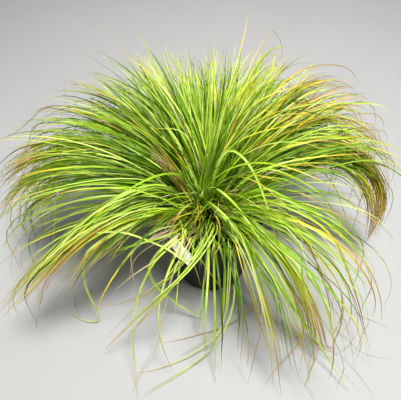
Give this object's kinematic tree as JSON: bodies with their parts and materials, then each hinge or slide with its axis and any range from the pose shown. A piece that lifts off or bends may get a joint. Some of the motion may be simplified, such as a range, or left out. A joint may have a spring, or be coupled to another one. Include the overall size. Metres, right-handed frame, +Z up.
{
  "type": "potted sedge",
  "caption": "Arching clump of fine-leaved ornamental sedge in a round black nursery pot, with soil and a bare white plant label.",
  "frame": {"origin": "centre of the pot's flat base, on the surface it stands on", "axes": "+Z up along the pot's axis; -Y towards the thin front of the clump, where the label hangs; +X to the right seen from the front"},
  "size_m": [0.6526, 0.5957, 0.3507],
  "materials": {
    "leaf": "satin",
    "leaf_bases": "matte",
    "potting_mix": "matte",
    "black_plastic": "satin",
    "white_plastic": "satin"
  },
  "bodies": {
    "root": {"crown": "leaf_bases", "leaves_back_1": "leaf", "leaves_back_10": "leaf", "leaves_back_2": "leaf", "leaves_back_3": "leaf", "leaves_back_4": "leaf", "leaves_back_5": "leaf", "leaves_back_6": "leaf", "leaves_back_7": "leaf", "leaves_back_8": "leaf", "leaves_back_9": "leaf", "leaves_back_left_1": "leaf", "leaves_back_left_2": "leaf", "leaves_back_left_3": "leaf", "leaves_back_left_4": "leaf", "leaves_back_left_5": "leaf", "leaves_back_left_6": "leaf", "leaves_back_left_7": "leaf", "leaves_back_left_8": "leaf", "leaves_back_right_1": "leaf", "leaves_back_right_2": "leaf", "leaves_back_right_3": "leaf", "leaves_back_right_4": "leaf", "leaves_back_right_5": "leaf", "leaves_back_right_6": "leaf", "leaves_back_right_7": "leaf", "leaves_back_right_8": "leaf", "leaves_front_1": "leaf", "leaves_front_2": "leaf", "leaves_front_3": "leaf", "leaves_front_4": "leaf", "leaves_front_5": "leaf", "leaves_front_left_1": "leaf", "leaves_front_left_2": "leaf", "leaves_front_left_3": "leaf", "leaves_front_left_4": "leaf", "leaves_front_right_1": "leaf", "leaves_front_right_2": "leaf", "leaves_front_right_3": "leaf", "leaves_front_right_4": "leaf", "leaves_front_right_5": "leaf", "leaves_left_1": "leaf", "leaves_left_2": "leaf", "leaves_left_3": "leaf", "leaves_left_4": "leaf", "leaves_left_5": "leaf", "leaves_left_6": "leaf", "leaves_left_7": "leaf", "leaves_right_1": "leaf", "leaves_right_2": "leaf", "leaves_right_3": "leaf", "leaves_right_4": "leaf", "leaves_right_5": "leaf", "leaves_right_6": "leaf", "leaves_right_7": "leaf", "plant_label": "white_plastic", "pot": "black_plastic", "soil": "potting_mix"}
  },
  "joints": []
}
